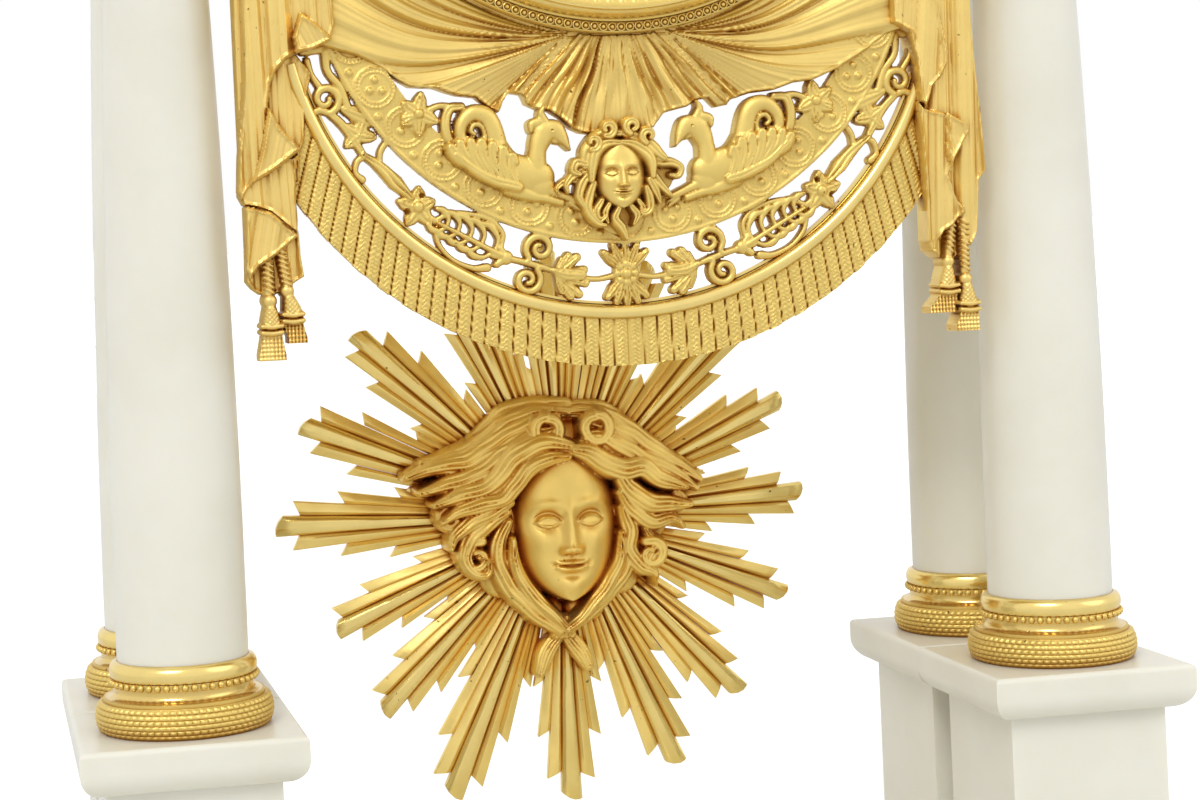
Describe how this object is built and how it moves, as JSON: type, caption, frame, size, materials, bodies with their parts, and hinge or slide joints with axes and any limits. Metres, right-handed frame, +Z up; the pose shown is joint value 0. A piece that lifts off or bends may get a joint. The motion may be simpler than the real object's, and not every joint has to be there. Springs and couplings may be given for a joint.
{
  "type": "portico clock",
  "caption": "Marble portico clock: a drum movement over a draped gilt apron between paired columns, with a sunburst pendulum.",
  "frame": {"origin": "centre of the base footprint, on the surface the feet stand on", "axes": "+Z up, -Y towards the viewer of the dial, +X to that viewer's right"},
  "size_m": [0.352, 0.16, 0.552],
  "materials": {
    "marble": "polished",
    "gilt_bronze": "matte and burnished gilding",
    "brass": "satin",
    "steel": "satin",
    "hand_gilt": "polished",
    "enamel": "gloss",
    "glass": "clear"
  },
  "bodies": {
    "case": {"back_plate": "brass", "base_beading": "gilt_bronze", "base_platform": "marble", "base_slab": "marble", "column_base_back_left": "gilt_bronze", "column_base_back_right": "gilt_bronze", "column_base_front_left": "gilt_bronze", "column_base_front_right": "gilt_bronze", "column_capital_back_left": "gilt_bronze", "column_capital_back_right": "gilt_bronze", "column_capital_front_left": "gilt_bronze", "column_capital_front_right": "gilt_bronze", "column_shaft_back_left": "marble", "column_shaft_back_right": "marble", "column_shaft_front_left": "marble", "column_shaft_front_right": "marble", "cornice_left": "marble", "cornice_right": "marble", "dial": "enamel", "drum_bracket_left": "gilt_bronze", "drum_bracket_right": "gilt_bronze", "drum_case": "gilt_bronze", "drum_finial": "gilt_bronze", "entablature_left": "marble", "entablature_right": "marble", "feet": "gilt_bronze", "fringe": "gilt_bronze", "front_plate": "brass", "hinge_pins": "brass", "movement_straps": "brass", "openwork": "gilt_bronze", "pedestal_back_left": "marble", "pedestal_back_right": "marble", "pedestal_front_left": "marble", "pedestal_front_right": "marble", "side_drape_left": "gilt_bronze", "side_drape_right": "gilt_bronze", "small_mask": "gilt_bronze", "suspension_cock": "brass", "suspension_spring": "steel", "swag": "gilt_bronze", "tie_rods": "steel", "urn_left": "gilt_bronze", "urn_right": "gilt_bronze"},
    "bezel_door": {"bezel": "gilt_bronze", "dial_glass": "glass"},
    "cover_door": {"back_cover": "brass"},
    "minute_work": {"minute_hand": "hand_gilt", "centre_wheel": "brass"},
    "hour_work": {"hour_hand": "hand_gilt"},
    "motion_wheel": {"minute_wheel": "brass"},
    "third_work": {"third_wheel": "brass"},
    "escape_work": {"escape_wheel": "brass"},
    "barrel_work": {"barrel": "brass", "mainspring": "steel"},
    "winding": {"winding_arbor": "steel"},
    "anchor": {"pallet_anchor": "steel"},
    "pendulum": {"pendulum_rod": "steel", "sunburst": "gilt_bronze", "pendulum_mask": "gilt_bronze"}
  },
  "joints": [
    {"name": "bezel_open", "type": "hinge", "parent": "case", "child": "bezel_door", "pos_m": [-0.0905, -0.04365, 0.412], "axis": [0, 0, -1], "range_deg": [0, 90]},
    {"name": "back_cover_open", "type": "hinge", "parent": "case", "child": "cover_door", "pos_m": [0.0795, 0.07015, 0.412], "axis": [0, 0, -1], "range_deg": [0, 100]},
    {"name": "minute_turn", "type": "hinge", "parent": "case", "child": "minute_work", "pos_m": [0, -0.044, 0.412], "axis": [0, 1, 0], "continuous": true},
    {"name": "hour_turn", "type": "hinge", "parent": "case", "child": "hour_work", "pos_m": [0, -0.043, 0.412], "axis": [0, 1, 0], "continuous": true},
    {"name": "minute_wheel_turn", "type": "hinge", "parent": "case", "child": "motion_wheel", "pos_m": [0.01316, -0.019, 0.41679], "axis": [0, 1, 0], "continuous": true},
    {"name": "third_wheel_turn", "type": "hinge", "parent": "case", "child": "third_work", "pos_m": [0.01012, 0.008, 0.42953], "axis": [0, 1, 0], "continuous": true},
    {"name": "escape_wheel_turn", "type": "hinge", "parent": "case", "child": "escape_work", "pos_m": [0, 0.008, 0.44309], "axis": [0, 1, 0], "continuous": true},
    {"name": "barrel_turn", "type": "hinge", "parent": "case", "child": "barrel_work", "pos_m": [0, 0.002, 0.38881], "axis": [0, 1, 0], "continuous": true},
    {"name": "winding_turn", "type": "hinge", "parent": "case", "child": "winding", "pos_m": [0, 0.002, 0.38881], "axis": [0, 1, 0], "continuous": true},
    {"name": "pendulum_swing", "type": "hinge", "parent": "case", "child": "pendulum", "pos_m": [0, 0.063, 0.45609], "axis": [0, 1, 0], "range_deg": [-3, 3]},
    {"name": "anchor_rock", "type": "hinge", "parent": "case", "child": "anchor", "pos_m": [0, 0.04, 0.45609], "axis": [0, 1, 0], "range_deg": [-3.2, 3.2]}
  ],
  "couplings": [
    {"joint": "hour_turn", "follows": "minute_turn", "ratio": 0.083333},
    {"joint": "minute_wheel_turn", "follows": "minute_turn", "ratio": -0.33333},
    {"joint": "third_wheel_turn", "follows": "minute_turn", "ratio": -10.5},
    {"joint": "escape_wheel_turn", "follows": "minute_turn", "ratio": 112.88},
    {"joint": "barrel_turn", "follows": "minute_turn", "ratio": -0.10417},
    {"joint": "anchor_rock", "follows": "pendulum_swing", "ratio": 1}
  ]
}
